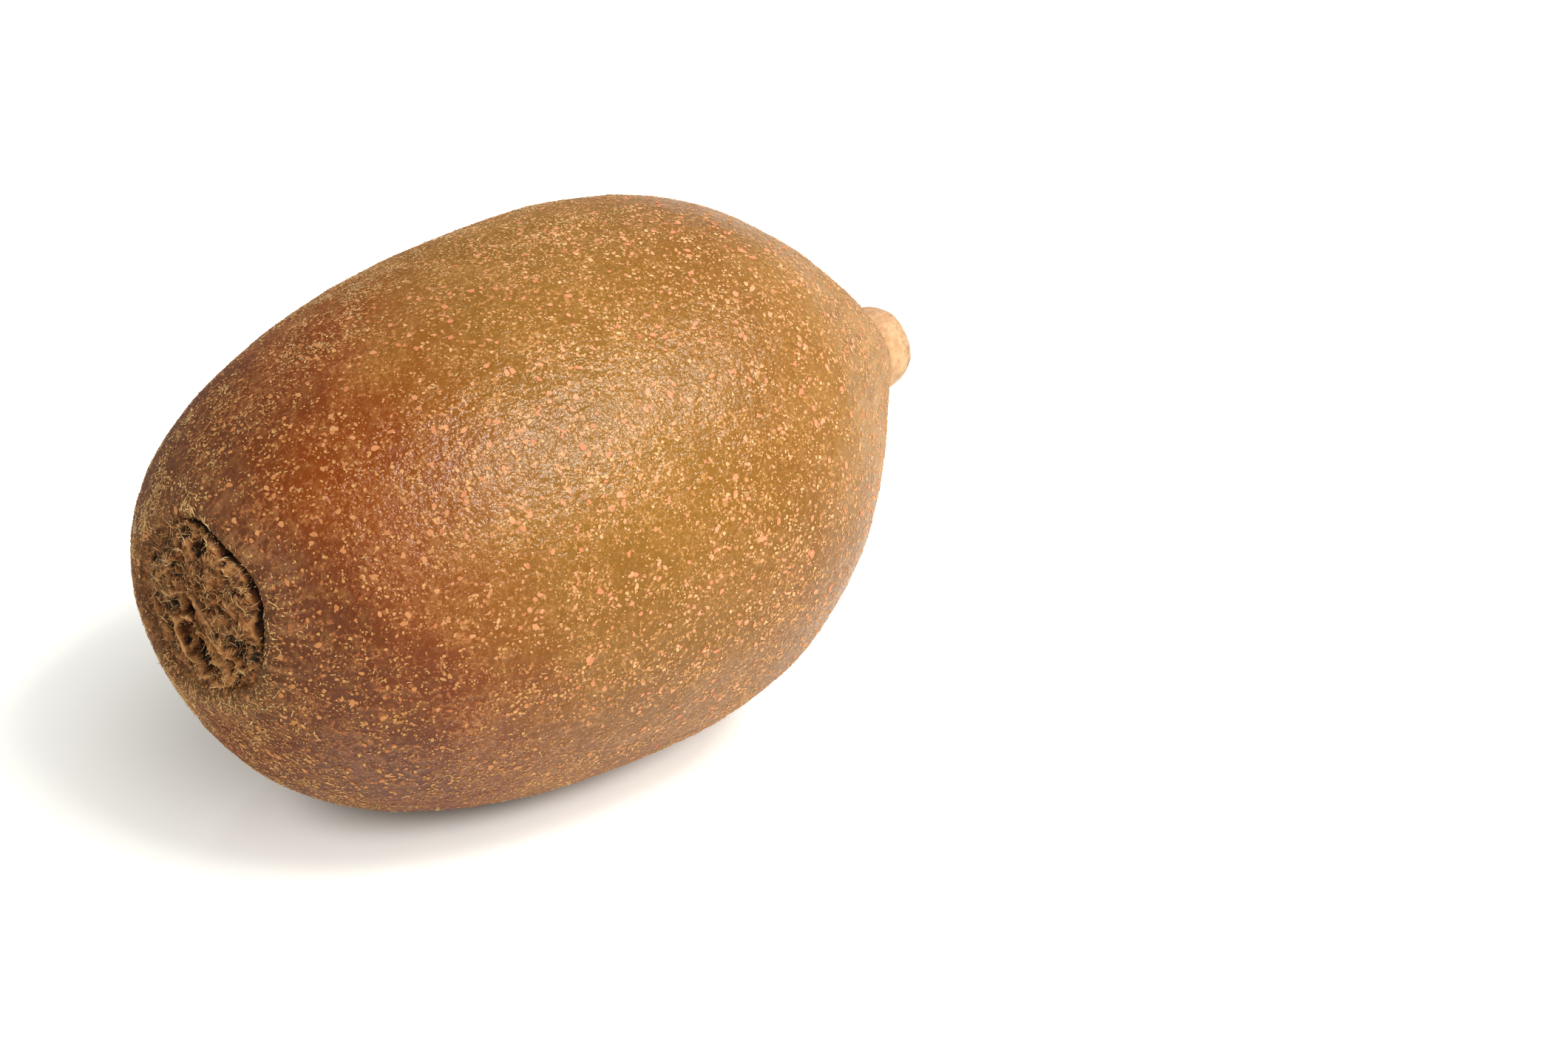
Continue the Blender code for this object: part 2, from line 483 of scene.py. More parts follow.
# Low relief that every surface detail sits on: broad and small dimples, and fine wrinkles that run
# towards the scar and the beak; the beak's cap has dents. Lumps are height, size, seed, octaves.
skinRelief = {
    "broad": (0.07, 5.5, 3, 2),
    "small": (0.035, 1.5, 4, 1),
    "wrinkleDepth": 0.05,
    "wrinkleCount": 34,
    "wander": ((3, 5.0, 5), (2, 1.6, 7)),  # how wrinkles stray sideways
    "breaks": (2.5, 8, 0.3),  # size and seed of the gaps between them, how rare
    "nearScar": (4.0, 4.0),  # how far outside it they are deepest, how wide
    "nearBeak": (56, 64, 67, 69),
    "beakShare": 0.5,
    "cap": (67.5, 69),  # the cap takes over from and to these x
    "capShare": 0.5,
    "dents": (0.09, 1.7, 6, 2),
}


# Height of the relief, from the turned body's own x, angle and reach from the scar
def reliefHeight(points, x, angle, reach):
    relief = skinRelief
    flat = points.reshape(-1, 3)
    wander = sum(raised(flat, *kind) for kind in relief["wander"])
    size, seed, rare = relief["breaks"]
    folds = np.sin(angle.ravel() * relief["wrinkleCount"] + wander * 2)
    folds = folds * np.clip(lumps(flat, size, seed) + rare, 0, 1)
    out, width = relief["nearScar"]
    stemNear = bell(reach - fruitForm["scarRadius"] - out, width) * (x < fruitForm["widestAt"])
    near = np.maximum(stemNear, relief["beakShare"] * band(x, *relief["nearBeak"]))
    height = raised(flat, *relief["broad"]) + raised(flat, *relief["small"])
    height += relief["wrinkleDepth"] * near.ravel() * folds
    onCap = easeStep(x, *relief["cap"])
    depth, *kind = relief["dents"]
    dents = lumps(flat, *kind).reshape(x.shape) - 0.5
    return height.reshape(x.shape) * (1 - relief["capShare"] * onCap) + depth * onCap * dents, onCap


def gridNormals(points):
    around = np.roll(points, -1, axis=1) - np.roll(points, 1, axis=1)
    along = np.gradient(points, axis=0)
    return unit(np.cross(along, around))


# The whole skin as rows round the fruit's axis, with the flat spot that it rests on; how far it was
# moved into the solid's box; and where each point is on the turned body
def skinSurface():
    x, radius = meridianRows()
    turn = np.linspace(0, 2 * math.pi, skinGrid["columns"], endpoint=False)
    x, angle = np.meshgrid(x, turn, indexing="ij")
    radius = np.broadcast_to(radius[:, None], x.shape)
    radius = radius * fruitRadius(x, angle) / np.maximum(fruitRadius(x), 0.01)
    y, z = radius * np.cos(angle), radius * np.sin(angle)
    points = laidDown(shaped(x, y, z, None))
    low, high = points.min(axis=(0, 1)), points.max(axis=(0, 1))
    move = cadHigh - high
    move[1] = (cadLow[1] + cadHigh[1] - low[1] - high[1]) / 2
    points = points + move
    reach, side = scarReach(y, z * fruitForm["heightToWidth"])
    relief, onCap = reliefHeight(points, x, angle, reach)
    outwards = relief - fruitForm["inset"] * (1 - onCap)
    points = points + gridNormals(points) * outwards[..., None]
    points[..., 2] = np.maximum(points[..., 2], 0)
    turned = {"x": x, "angle": angle, "reach": reach, "side": side}
    return keepInBox(points, skinGrid["margin"]), move, turned


# Materials

# Skin colours from the stem scar to the beak, by the attribute ripe
skinColours = [
    (0.0, paint(98, 53, 24)),
    (0.10, paint(98, 43, 2)),
    (0.17, paint(116, 51, 0)),
    (0.22, paint(130, 62, 6)),
    (0.29, paint(140, 82, 18)),
    (0.40, paint(141, 94, 26)),
    (0.55, paint(148, 101, 30)),
    (0.72, paint(144, 94, 30)),
    (0.86, paint(166, 118, 52)),
    (0.95, paint(186, 140, 80)),
]


# Colours laid over the skin one after the other, each with its mask's name and its greatest share
skinLayers = [
    ("neck", 0.6, paint(166, 126, 88)),
    ("dusk", 0.75, paint(88, 40, 16)),
    ("worn", 0.8, paint(88, 68, 38)),
    # groove: painted shade, a darker brown in and just outside the groove round the scar
    ("groove", 0.7, paint(66, 38, 20)),
    ("pale", 0.5, paint(196, 150, 100)),
    ("dark", 0.45, paint(84, 52, 26)),
]

# Noises of the skin's shading: grain in millimetres, detail, roughness
skinNoises = {
    "drift": (9.0, 2.0),
    "patches": (3.5, 2.0),
    "mottle": (1.1, 3.0, 0.6),
    "specks": (0.36, 2.0, 0.6),
    "crowds": (3.0, 2.0),
    "dimples": (0.62, 2.0),
    "capMottle": (0.9, 3.0),
    "capSpecks": (0.6, 3.0, 0.65),
}

# A step is from and to which value a pattern comes in; two colours are for the stem end and for
# riper skin
skinLook = {
    "driftShare": 0.17,
    "patchShare": 0.12,
    "ripeStep": (0.1, 0.5),
    "glow": paint(142, 64, 2),
    # low: painted shade, a darker colour on the underside and low at the stem end's near side, browner on
    # riper skin
    "low": (paint(96, 41, 4), paint(120, 70, 12)),
    "mottle": paint(196, 140, 74),
    "mottleStep": (0.45, 0.8),
    "mottleShare": 0.25,
    "crowding": 0.2,
    "specks": (paint(176, 104, 56), paint(218, 156, 92)),
    "speckStep": (0.58, 0.64),
    "speckShare": 0.7,
    "strands": (paint(186, 124, 72), paint(214, 154, 92)),
    "strandKinds": [("patches", 0.9, 0.03, 0.42, 0.56), ("drift", 0.55, 0.04, 0.45, 0.55)],
    "strandShare": (0.25, 0.15),  # everywhere, and added where it is hairy
    "cap": (paint(228, 184, 136), paint(206, 156, 112)),
    "capStep": (0.35, 0.7),
    "capSpeck": paint(128, 86, 62),
    "capSpeckStep": (0.5, 0.62),
    "relief": 0.22,
    "fineRelief": 0.5,
    "roughness": (0.23, 0.1, 0.6),  # smooth skin, added by mottle, added by hair
}

skinBody = {
    "Subsurface_Weight": 0.1,
    "Subsurface_Scale": 0.002,
    "Subsurface_Radius": (1.0, 0.45, 0.15),
    "IOR": 1.33,
    "Specular_Tint": (1.0, 0.96, 0.88, 1.0),
}


def skinMaterial():
    recipe, look = Recipe("bronzeSkin"), skinLook
    noise = {key: recipe.noise(*kind) for key, kind in skinNoises.items()}
    fuzzy = recipe.attribute("fuzzy")

    ripe = recipe.attribute("ripe") + (noise["drift"] - 0.5) * look["driftShare"]
    ripe = ripe + (noise["patches"] - 0.5) * look["patchShare"]
    riper = recipe.step(ripe, *look["ripeStep"])
    colour = recipe.node("ShaderNodeValToRGB", {"stops": skinColours}, {0: ripe})
    colour = recipe.blend(recipe.attribute("glow"), colour, look["glow"])
    # Painted shade: the attribute low darkens the underside and the low near side of the stem end
    colour = recipe.blend(recipe.attribute("low"), colour, recipe.blend(riper, *look["low"]))
    for name, share, layerColour in skinLayers:
        colour = recipe.blend(recipe.attribute(name) * share, colour, layerColour)

    mottled = recipe.step(noise["mottle"], *look["mottleStep"]) * look["mottleShare"]
    colour = recipe.blend(mottled, colour, look["mottle"])
    specks = noise["specks"] + (noise["crowds"] - 0.5) * look["crowding"]
    specks = recipe.step(specks, *look["speckStep"]) * look["speckShare"]
    colour = recipe.blend(specks, colour, recipe.blend(riper, *look["specks"]))
    coarse, fine = [
        recipe.strands(grain, width) * recipe.step(noise[where], low, high)
        for where, grain, width, low, high in look["strandKinds"]
    ]
    everywhere, onHairy = look["strandShare"]
    strands = (coarse + fine) * (everywhere + fuzzy * onHairy)
    colour = recipe.blend(strands, colour, recipe.blend(riper, *look["strands"]))

    cap = recipe.blend(recipe.step(noise["capMottle"], *look["capStep"]), *look["cap"])
    capSpecks = recipe.step(noise["capSpecks"], *look["capSpeckStep"]) * recipe.attribute("capEnd")
    cap = recipe.blend(capSpecks, cap, look["capSpeck"])
    colour = recipe.blend(recipe.attribute("cap"), colour, cap)

    relief = noise["mottle"] + noise["dimples"] * look["fineRelief"] + noise["specks"] * look["fineRelief"]
    smooth, byMottle, byHair = look["roughness"]
    roughness = smooth + noise["mottle"] * byMottle + fuzzy * byHair
    normal = recipe.bump(relief, look["relief"])
    return recipe.finish(Base_Color=colour, Roughness=roughness, Normal=normal, **skinBody)


# A pale and a deep colour at the stem end, then the same at the beak
tanStem, tanBeak = (paint(208, 156, 94), paint(176, 118, 62)), (paint(246, 194, 138), paint(222, 154, 102))
redStem, redBeak = (paint(204, 142, 88), paint(184, 114, 64)), (paint(238, 168, 124), paint(224, 140, 98))
fleckColours = {"tanFleck": (tanStem, tanBeak), "salmonFleck": (redStem, redBeak)}
fleckLook = {"ripeStep": (0.1, 0.6), "grain": 0.15, "bump": (0.02, 0.5)}
drySurface = {"Roughness": 0.6, "Specular_IOR_Level": 0.1}


# Flecks are browner at the stem end and paler towards the beak, by the attribute ripe
def fleckMaterial(name):
    recipe = Recipe(name)
    tint = recipe.attribute("tint")
    atStem, atBeak = [recipe.blend(tint, *pair) for pair in fleckColours[name]]
    riper = recipe.step(recipe.attribute("ripe"), *fleckLook["ripeStep"])
    normal = recipe.bump(recipe.noise(fleckLook["grain"]), *fleckLook["bump"])
    return recipe.finish(Base_Color=recipe.blend(riper, atStem, atBeak), Normal=normal, **drySurface)


fuzzColours = (paint(252, 214, 154), paint(204, 150, 90))


def fuzzMaterial():
    recipe = Recipe("tanFuzz")
    colour = recipe.blend(recipe.attribute("tint"), *fuzzColours)
    return recipe.finish(Base_Color=colour, **drySurface)


woodLook = {
    "colours": [
        (0.0, paint(12, 9, 6)),
        (0.24, paint(44, 28, 16)),
        (0.42, paint(106, 66, 34)),
        (0.66, paint(156, 104, 58)),
        (1.0, paint(206, 152, 96)),
    ],
    # Painted shade and light: darker the lower the wood lies, down to near black in the hole and pits, and
    # paler on its crests
    "lightByCrest": 0.65,
    "shadeByDepth": 0.6,
    "darker": 0.33,
    "grainShare": 0.7,
    "noises": [(0.45, 4.0, 0.65), (1.6, 3.0, 0.6), (0.16, 3.0, 0.6)],  # grain, stains, relief
    "stains": [
        ((0.56, 0.7), 0.5, paint(70, 58, 46)),  # step, share, colour
        ((0.5, 0.3), 0.35, paint(150, 84, 44)),
    ],
    "bump": (0.07, 0.9),  # depth, strength
}
woodSurface = {"Roughness": 0.85, "Specular_IOR_Level": 0.15}


def woodMaterial():
    recipe, look = Recipe("tornWood"), woodLook
    grain, stains, fine = [recipe.noise(*kind) for kind in look["noises"]]
    # Painted shade in the wood's low places and creases and painted light on its crests, from the
    # attributes depth and crest
    tone = recipe.attribute("crest") * look["lightByCrest"] + recipe.attribute("depth") * look["shadeByDepth"]
    tone = tone - look["darker"] + (grain - 0.5) * look["grainShare"]
    colour = recipe.node("ShaderNodeValToRGB", {"stops": look["colours"]}, {0: tone})
    for limits, share, stain in look["stains"]:
        colour = recipe.blend(recipe.step(stains, *limits) * share, colour, stain)
    return recipe.finish(Base_Color=colour, Normal=recipe.bump(fine, *look["bump"]), **woodSurface)


# Pieces

ripening = {"above": 0.1, "below": 0.3, "nearer": 0.004, "nearFrom": -9}


# 0 at the stem end to 1 at the beak, greater towards the top and the near side; lower on the
# underside, which makes it redder and darker there: partly the skin's own colour, partly painted shade
def ripeness(points):
    share = (points[:, 0] - cadLow[0]) / (cadHigh[0] - cadLow[0])
    height = points[:, 2] / cadHigh[2] - 0.5
    byHeight = np.where(height > 0, ripening["above"], ripening["below"]) * height
    return share + byHeight - ripening["nearer"] * (points[:, 1] - ripening["nearFrom"])


hairPlaces = {"stem": (-36, -28), "under": (6, 18), "back": (-4, 9), "backEnd": (0, 24), "beak": (18, 31)}
hairShares = {"stem": 0.9, "under": 0.5, "back": 1.1, "beak": 0.6}


# How hairy the skin is: most at the stem end and on the underside, some at the back and the beak
def hairiness(points):
    x, y, z = points.T
    places, shares = hairPlaces, hairShares
    total = shares["stem"] * (1 - easeStep(x, *places["stem"]))
    total += shares["under"] * (1 - easeStep(z, *places["under"]))
    total += shares["back"] * easeStep(y, *places["back"]) * (1 - easeStep(x, *places["backEnd"]))
    return total + shares["beak"] * easeStep(x, *places["beak"])


# Where the colours of the skin's layers lie. A ring round the scar is how far out of its edge it is
# and how wide; a band is along the turned body; a side is an angle round the scar.
skinMasks = {
    "stemEnd": -20,  # the x where everything round the scar ends
    "glow": (0.65, (-27.5, -8.0, 37.4), 6.2),  # share, middle, width
    # low paints shade on the underside, fading out up to the second height; lowShadeAtStem paints more
    # shade low at the stem end's near side
    "low": (0.7, 7, 35),  # share, heights
    "lowShadeAtStem": (0.55, (-36, -30), (-3, 4)),  # share, along the fruit, towards the near side
    "streaks": (46, 0.5, 1.0, 71, 2),  # fineness round and along, then their lumps
    "streakRing": (0.6, 2.5, 2.6),  # share, ring
    "streakBand": (1.2, 52, 63, 68, 69.5),  # share, band
    "neck": (61, 66, 67.6, 68.6),
    "cap": (67.9, 69.0),
    "capEnd": (0.15, 0.5, 69.6, 71.4),  # least, more, band
    "worn": (1.2, 1.3),
    "wornSide": (0.35, 0.65, -1.9),  # least, more, side
    # groove: a ring of painted shade in and just outside the groove round the scar
    "groove": (0.5, 0.8),
    "grooveShadeSwing": (0.6, 0.4, 0.0),
    "dusk": (2.2, 2.4),
    "duskSide": 3,
}


# The attributes of the skin's points, most of them shares from 0 to 1
def skinAttributes(points, turned):
    masks = skinMasks
    px, py, pz = points.T
    x, angle, reach, side = [
        np.concatenate([part.ravel(), part[0, :1], part[-1, :1]]) for part in turned.values()
    ]

    def ring(out, width):
        return bell(reach - fruitForm["scarRadius"] - out, width) * (px < masks["stemEnd"])

    around, along, *kind = masks["streaks"]
    drawn = np.stack([np.cos(angle) * around, np.sin(angle) * around, px * along], axis=-1)
    atScar, *streakRing = masks["streakRing"]
    atBeak, *streakBand = masks["streakBand"]
    streak = atScar * ring(*streakRing) + atBeak * band(x, *streakBand)
    streak = streak * lumps(drawn, *kind)
    # Painted shade on the underside and low at the stem end's near side
    lowShadeShare, *heights = masks["low"]
    stemShare, stemAlong, nearSide = masks["lowShadeAtStem"]
    atStem = stemShare * (1 - easeStep(px, *stemAlong)) * easeStep(-py, *nearSide)
    glowShare, middle, width = masks["glow"]
    least, more, *capEnd = masks["capEnd"]
    wornLeast, wornMore, wornSide = masks["wornSide"]
    return {
        "ripe": ripeness(points),
        "glow": glowShare * bell(np.linalg.norm(points - middle, axis=1), width),
        "low": np.clip(lowShadeShare * (1 - easeStep(pz, *heights)) + atStem, 0, 1),
        "fuzzy": np.clip(hairiness(points), 0, 1),
        "neck": band(x, *masks["neck"]),
        "cap": easeStep(x, *masks["cap"]),
        "capEnd": least + more * easeStep(x, *capEnd),
        "pale": np.clip(streak, 0, 1),
        "dark": np.clip(-streak, 0, 1),
        "worn": ring(*masks["worn"]) * (wornLeast + wornMore * facing(side, wornSide) ** 2),
        # Painted shade in and just outside the groove round the scar, more on one side
        "groove": ring(*masks["groove"]) * swing(side, *masks["grooveShadeSwing"]),
        "dusk": ring(*masks["dusk"]) * facing(side, masks["duskSide"]),
    }


def addPiece(piece):
    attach(piece, "root")
    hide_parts("kiwi_fruit")


def makeSkin():
    grid, move, turned = skinSurface()
    points, faces = closedRings(grid)
    marks = skinAttributes(points, turned)
    addPiece(makePiece("kiwiSkin", points, faces, skinMaterial(), marks))
    return grid, move, turned


# Random places on the skin: cells of the grid drawn by area times density, and a point in each
# by blending the cell's corners
def scatter(grid, density, count, rng):
    rightOf = np.roll(grid, -1, axis=1)
    a, b, c, d = grid[:-1], grid[1:], rightOf[1:], rightOf[:-1]
    area = np.linalg.norm(np.cross(c - a, d - b), axis=-1) * density
    total = np.cumsum(area.ravel())
    picked = np.searchsorted(total, rng.random(count) * total[-1])
    u, v = rng.random((2, count, 1))
    a, b, c, d = [corner.reshape(-1, 3)[picked] for corner in (a, b, c, d)]
    spots = a * (1 - u) * (1 - v) + b * u * (1 - v) + c * u * v + d * (1 - u) * v
    along = unit(b - a + c - d)
    around = d - a + c - b
    normal = unit(np.cross(along, around))
    return spots, normal, along, np.cross(normal, along)


sunk = 0.03  # how deep the rims of flecks and the roots of hairs lie under the skin
detailMargin = 0.005  # kept free between them and the solid's box

domes = {
    "ragged": (0.6, 1.3),  # least and greatest reach of a corner, as a share
    "stretch": 0.6,
    "heights": (0.7, 1.3),
    "shoulder": (0.68, 0.8),  # how far out and how high the middle ring is
}


# Low domes with ragged edges: a circle whose corners reach out at random, carried over a profile
# of rings, with the rim sunk under the skin. Plain ones have no shoulder ring.
def domePoints(places, radius, height, stretch, heading, sides, plain, rng):
    spots, normal, along, across = places
    turn = np.linspace(0, 2 * math.pi, sides, endpoint=False)[None]
    ragged = rng.uniform(*domes["ragged"], (len(spots), sides))
    major = along * np.cos(heading)[:, None] + across * np.sin(heading)[:, None]
    minor = np.cross(normal, major)
    outX = np.cos(turn) * ragged * (radius * stretch)[:, None]
    outY = np.sin(turn) * ragged * radius[:, None]
    reach = outX[..., None] * major[:, None] + outY[..., None] * minor[:, None]
    rise = (normal * height[:, None])[:, None]
    shoulderOut, shoulderUp = domes["shoulder"]
    rim = spots[:, None] + reach - normal[:, None] * sunk
    shoulder = spots[:, None] + reach * shoulderOut + rise * shoulderUp
    top = spots[:, None] + rise
    return np.concatenate([rim, top] if plain else [rim, shoulder, top], axis=1)


def domeFaces(sides, plain, copies):
    turn = np.arange(sides)
    after = (turn + 1) % sides
    last = 0 if plain else sides
    walls = np.stack([turn, after, after + sides, turn + sides], axis=-1)
    crown = np.stack([turn + last, after + last, np.full(sides, last + sides)], axis=-1)
    underside = turn[::-1][None]
    parts = (crown, underside) if plain else (walls, crown, underside)
    return [repeatFaces(faces, last + sides + 1, copies) for faces in parts]


# Flecks with fewer than six sides are plain
flecks = {
    "tanFlecks": {"count": 8400, "radius": (0.07, 0.18), "height": 0.04, "sides": 6, "seed": 11},
    "paleDots": {"count": 22000, "radius": (0.055, 0.105), "height": 0.03, "sides": 5, "seed": 12},
    "salmonFlecks": {"count": 2800, "radius": (0.12, 0.26), "height": 0.055, "sides": 7, "seed": 13},
}


def makeFlecks(name, grid, density, material):
    values = flecks[name]
    rng = np.random.default_rng(values["seed"])
    count = values["count"]
    places = scatter(grid, density, count, rng)
    low, high = values["radius"]
    radius = low + (high - low) * rng.random(count) ** 2
    height = values["height"] * rng.uniform(*domes["heights"], count)
    stretch = 1 + domes["stretch"] * rng.random(count)
    heading = rng.random(count) * math.pi
    sides = values["sides"]
    plain = sides < 6
    points = domePoints(places, radius, height, stretch, heading, sides, plain, rng)
    each = points.shape[1]
    tint = np.repeat(rng.random(count), each)
    points = keepInBox(points.reshape(-1, 3), detailMargin)
    marks = {"tint": tint, "ripe": ripeness(points)}
    faces = domeFaces(sides, plain, count)
    addPiece(makePiece(name, points, faces, material, marks, flatLists=(len(faces) - 1,)))


fuzz = {
    "shortFuzz": {"count": 10500, "length": (0.4, 0.9), "width": 0.045, "seed": 21},
    "longFuzz": {"count": 10500, "length": (0.8, 1.5), "width": 0.068, "seed": 22},
    "scarFibres": {"count": 1800, "length": (0.5, 1.4), "width": 0.035, "seed": 23},
}

hairs = {
    "headingSpread": 0.8,
    "turnSpread": 1.0,
    "lift": (8, 34),  # degrees off the skin
    "bend": (5, 40),
    "widths": (0.7, 0.6),  # least share of the width, and how much more
    "taper": 0.8,
}


# Fine bent hairs: three sides, a bend half way and a pointed tip. A hair leans along the skin,
# roughly towards the beak, and its outer half bends back to the skin.
def makeFuzz(name, grid, density, material):
    values = fuzz[name]
    rng = np.random.default_rng(values["seed"])
    count = values["count"]
    spots, normal, along, across = scatter(grid, density, count, rng)
    heading = rng.normal(0, hairs["headingSpread"], count)[:, None]
    later = heading + rng.normal(0, hairs["turnSpread"], count)[:, None]
    lean = along * np.cos(heading) + across * np.sin(heading)
    leanLater = along * np.cos(later) + across * np.sin(later)
    low, high = values["length"]
    length = (low + (high - low) * rng.random(count))[:, None]
    lift = np.radians(rng.uniform(*hairs["lift"], count))[:, None]
    bend = lift - np.radians(rng.uniform(*hairs["bend"], count))[:, None]
    root = spots - normal * sunk
    middle = root + length / 2 * (lean * np.cos(lift) + normal * np.sin(lift))
    tip = middle + length / 2 * (leanLater * np.cos(bend) + normal * np.sin(bend))
    side = np.cross(normal, lean)
    ring = [side * math.cos(a) + normal * math.sin(a) for a in (0, 2 * math.pi / 3, 4 * math.pi / 3)]
    least, more = hairs["widths"]
    width = values["width"] * (least + more * rng.random(count))[:, None]
    points = [root + r * width for r in ring]
    points += [middle + r * width * hairs["taper"] for r in ring] + [tip]
    points = keepInBox(np.stack(points, axis=1).reshape(-1, 3), detailMargin)
    walls = [[0, 1, 4, 3], [1, 2, 5, 4], [2, 0, 3, 5]]
    ends = [[3, 4, 6], [4, 5, 6], [5, 3, 6], [2, 1, 0]]
    each = len(points) // count
    faces = [repeatFaces(part, each, count)[:, ::-1] for part in (walls, ends)]
    tint = np.repeat(rng.random(count), each)
    addPiece(makePiece(name, points, faces, material, {"tint": tint}))


# Places on the scar are (y, z) from its middle, seen along +X: y to the left in the view, z up
plug = {
    "radius": 7.65,
    "rings": 132,
    "columns": 330,
    "highest": 0.9,
    "sink": 0.1,
    "ground": (0.4, 3.0, 41, 2),
    "creases": [(0.45, 1.7, 43, 2), (0.32, 0.8, 47, 2), (0.2, 0.45, 48, 2)],
    "creaseLevel": 0.4,
    "grain": (0.07, 0.22, 49, 2),
    "bends": [(0.7, 0.35, 2.2, (45, 46)), (0.0, 0.3, 0.9, (51, 52))],  # of the lumps, of the marks
    "hole": (1.15, -0.85, 0.95, 2.8),  # y, z, width, depth
    "pits": [(3.4, -1.5, 0.9, 1.0), (4.6, -2.6, 0.7, 0.8), (3.6, 2.2, 0.5, 0.9)],
    "morePits": [(2.5, 3.3, 0.5, 1.0), (0.4, 5.3, 0.9, 1.3)],
    "trough": (2.1, -2.7, -0.7, -4.8, 0.9, 1.5),  # from y, z to y, z, width, depth
    "slit": (-2.2, -2.7, -4.1, -4.4, 0.36, 2.4),
    "troughLip": (3.2, -3.0, 1.7, -5.3, 0.3, 0.8),
    "lipEnd": (1.7, -5.3, -1.1, -6.1, 0.3, 0.7),
    "ridge": (0.4, 0.6, -4.7, -3.5, 0.65, 0.6),
    "splinter": (2.1, -2.0, 0.2, -1.9, 0.16, 1.3),
    "rimLean": 0.5,  # where round the edge the rim stands and its groove runs: low down
    "rim": (0.35, 0.9, 0.5),  # height, distance inside the edge, width
    "rimGroove": (0.4, 1.9, 0.35),
    "shoulder": (0.35, 2.4, 0.4),  # drop, from and to inside the edge
    "skirt": (1.6, 0.4),
    "skirtDepth": 1.0,
    "raggedness": (0.07, 3, 1.0, 44, 3),  # share, then a circle's radius through lumps
}


# Distance from places to a straight stretch between two points
def stretchDistance(y, z, y0, z0, y1, z1):
    square = (y1 - y0) ** 2 + (z1 - z0) ** 2
    along = np.clip(((y - y0) * (y1 - y0) + (z - z0) * (z1 - z0)) / square, 0, 1)
    return np.hypot(y - y0 - along * (y1 - y0), z - z0 - along * (z1 - z0))


# Height of the torn wood: lumps and creased ridges of falling size, with a hole, pits, a trough
# with a raised lip, a slit, a long ridge, and a ragged rim along the lower side
def plugHeight(y, z, reach, angle):
    spots = np.stack([y, z, y * 0 + 4.0], axis=-1)
    lumpBend, markBend = [
        np.stack([lumps(spots, size, seed, 2) for seed in seeds] + [y * 0], axis=-1)
        for _, _, size, seeds in plug["bends"]
    ]
    bent = spots + plug["bends"][0][0] * lumpBend
    height = raised(spots, *plug["ground"])
    for amount, *kind in plug["creases"]:
        height += amount * (plug["creaseLevel"] - abs(lumps(bent, *kind)))
    height += raised(bent, *plug["grain"])
    coarse, fine = plug["bends"][0][1], plug["bends"][1][1]
    y, z = [part + coarse * lumpBend[:, k] + fine * markBend[:, k] for k, part in enumerate((y, z))]
    for key in ("trough", "slit"):
        *line, width, depth = plug[key]
        height -= depth * bell(stretchDistance(y, z, *line), width)
    for pitY, pitZ, width, depth in [plug["hole"]] + plug["pits"] + plug["morePits"]:
        height -= depth * bell(np.hypot(y - pitY, z - pitZ) ** 2, width**2)
    for key in ("troughLip", "lipEnd", "ridge", "splinter"):
        *line, width, amount = plug[key]
        height += amount * bell(stretchDistance(y, z, *line), width)
    inside = plug["radius"] - reach
    lower = 0.5 - 0.5 * np.sin(angle + plug["rimLean"])
    amount, far, width = plug["rim"]
    height += amount * lower * bell(far - inside, width)
    drop, far, near = plug["shoulder"]
    height -= drop * easeStep(-inside, -far, -near)
    depth, far, width = plug["rimGroove"]
    height -= depth * lower * bell(far - inside, width)
    drop, near = plug["skirt"]
    return height - plug["sink"] - drop * easeStep(-inside, -near, 0)


# How far each place of a ring grid stands over the mean of itself and 12 places round it; the wood
# is painted lighter where it stands out and darker where it sinks: painted light and shade
def standing(height, rowStep, columnStep):
    near = height.copy()
    for step in (1, 2, 3):
        for shift in (rowStep * step, -rowStep * step):
            near = near + np.roll(height, shift, axis=0)
        for shift in (columnStep * step, -columnStep * step):
            near = near + np.roll(height, shift, axis=1)
    return height - near / 13


# Heights from the lowest up over the range become the attribute depth, 0 to 1, which paints shade
# into the wood's low places; crest scales the painted light and shade of its ridges and creases
woodMarks = {"lowest": -2.2, "range": 2.8, "crest": 2.2, "under": -3.0}


